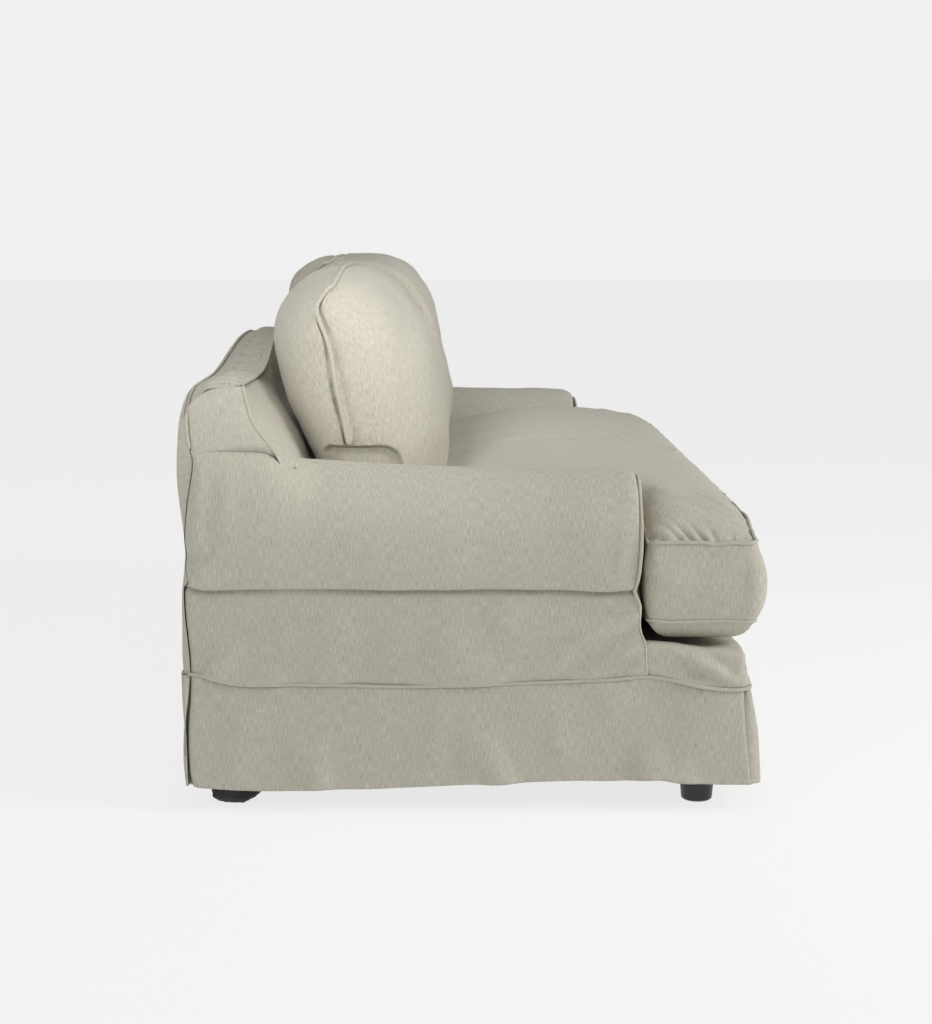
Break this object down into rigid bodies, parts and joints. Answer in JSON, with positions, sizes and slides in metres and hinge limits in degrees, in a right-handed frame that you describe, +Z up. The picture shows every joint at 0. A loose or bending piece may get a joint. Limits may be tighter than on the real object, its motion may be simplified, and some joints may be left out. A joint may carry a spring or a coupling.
{
  "type": "camelback sofa",
  "caption": "Camelback sofa in a loose linen slipcover, with rolled arms, a skirted base and plump loose seat and back cushions.",
  "frame": {"origin": "on the floor, under the middle of the sofa's footprint", "axes": "+X across the sofa to its right-hand end as seen from in front, +Y towards its back, +Z up; the seat faces -Y"},
  "size_m": [2.1, 1, 0.9387],
  "materials": {
    "linen": "oatmeal linen-look slub weave",
    "wadding": "white polyester wadding over foam",
    "softwood": "sawn softwood and plywood",
    "spring_steel": "drawn spring wire",
    "elastic_web": "woven elastic webbing",
    "black_cloth": "thin black cloth",
    "dark_foot": "dark stained wood, satin"
  },
  "bodies": {
    "sofa_frame": {"front_border": "linen", "inside_back_cover": "linen", "back_top_band": "linen", "back_side_panel_left": "linen", "back_side_panel_right": "linen", "outer_back_panel": "linen", "arm_front_panel_left": "linen", "arm_front_panel_right": "linen", "arm_cover_left": "linen", "arm_cover_right": "linen", "side_panel_left": "linen", "side_panel_right": "linen", "side_skirt_left": "linen", "side_skirt_right": "linen", "front_skirt": "linen", "rear_skirt": "linen", "seat_deck_pad": "wadding", "back_pad": "wadding", "arm_pad_left": "wadding", "arm_pad_right": "wadding", "front_rail": "softwood", "rear_rail": "softwood", "side_rail_left": "softwood", "side_rail_right": "softwood", "inner_side_rail_left": "softwood", "inner_side_rail_right": "softwood", "rear_seat_rail": "softwood", "centre_stretcher": "softwood", "front_corner_block_left": "softwood", "front_corner_block_right": "softwood", "rear_corner_block_left": "softwood", "rear_corner_block_right": "softwood", "inner_back_upright_left": "softwood", "inner_back_upright_right": "softwood", "outer_back_upright_left": "softwood", "outer_back_upright_right": "softwood", "centre_back_upright": "softwood", "back_top_rail": "softwood", "arm_front_board_left": "softwood", "arm_front_board_right": "softwood", "arm_board_left": "softwood", "arm_board_right": "softwood", "seat_spring_set_left": "spring_steel", "seat_spring_set_right": "spring_steel", "back_webbing_1": "elastic_web", "back_webbing_2": "elastic_web", "back_webbing_3": "elastic_web", "back_webbing_4": "elastic_web", "rear_foot_wrap_left": "black_cloth", "rear_foot_wrap_right": "black_cloth", "dust_cover": "black_cloth", "front_foot_left": "dark_foot", "front_foot_right": "dark_foot", "rear_foot_left": "dark_foot", "rear_foot_right": "dark_foot"},
    "seat_cushion_left": {"seat_cushion_left": "linen"},
    "seat_cushion_right": {"seat_cushion_right": "linen"},
    "back_cushion_left": {"back_cushion_left": "linen"},
    "back_cushion_right": {"back_cushion_right": "linen"}
  },
  "joints": [
    {"name": "seat_cushion_left_lift", "type": "slide", "parent": "sofa_frame", "child": "seat_cushion_left", "axis": [0, 0, 1], "range_m": [0, 0.36]},
    {"name": "back_cushion_left_lift", "type": "slide", "parent": "seat_cushion_left", "child": "back_cushion_left", "axis": [0, 0, 1], "range_m": [0, 0.32]},
    {"name": "seat_cushion_right_lift", "type": "slide", "parent": "sofa_frame", "child": "seat_cushion_right", "axis": [0, 0, 1], "range_m": [0, 0.36]},
    {"name": "back_cushion_right_lift", "type": "slide", "parent": "seat_cushion_right", "child": "back_cushion_right", "axis": [0, 0, 1], "range_m": [0, 0.32]}
  ]
}
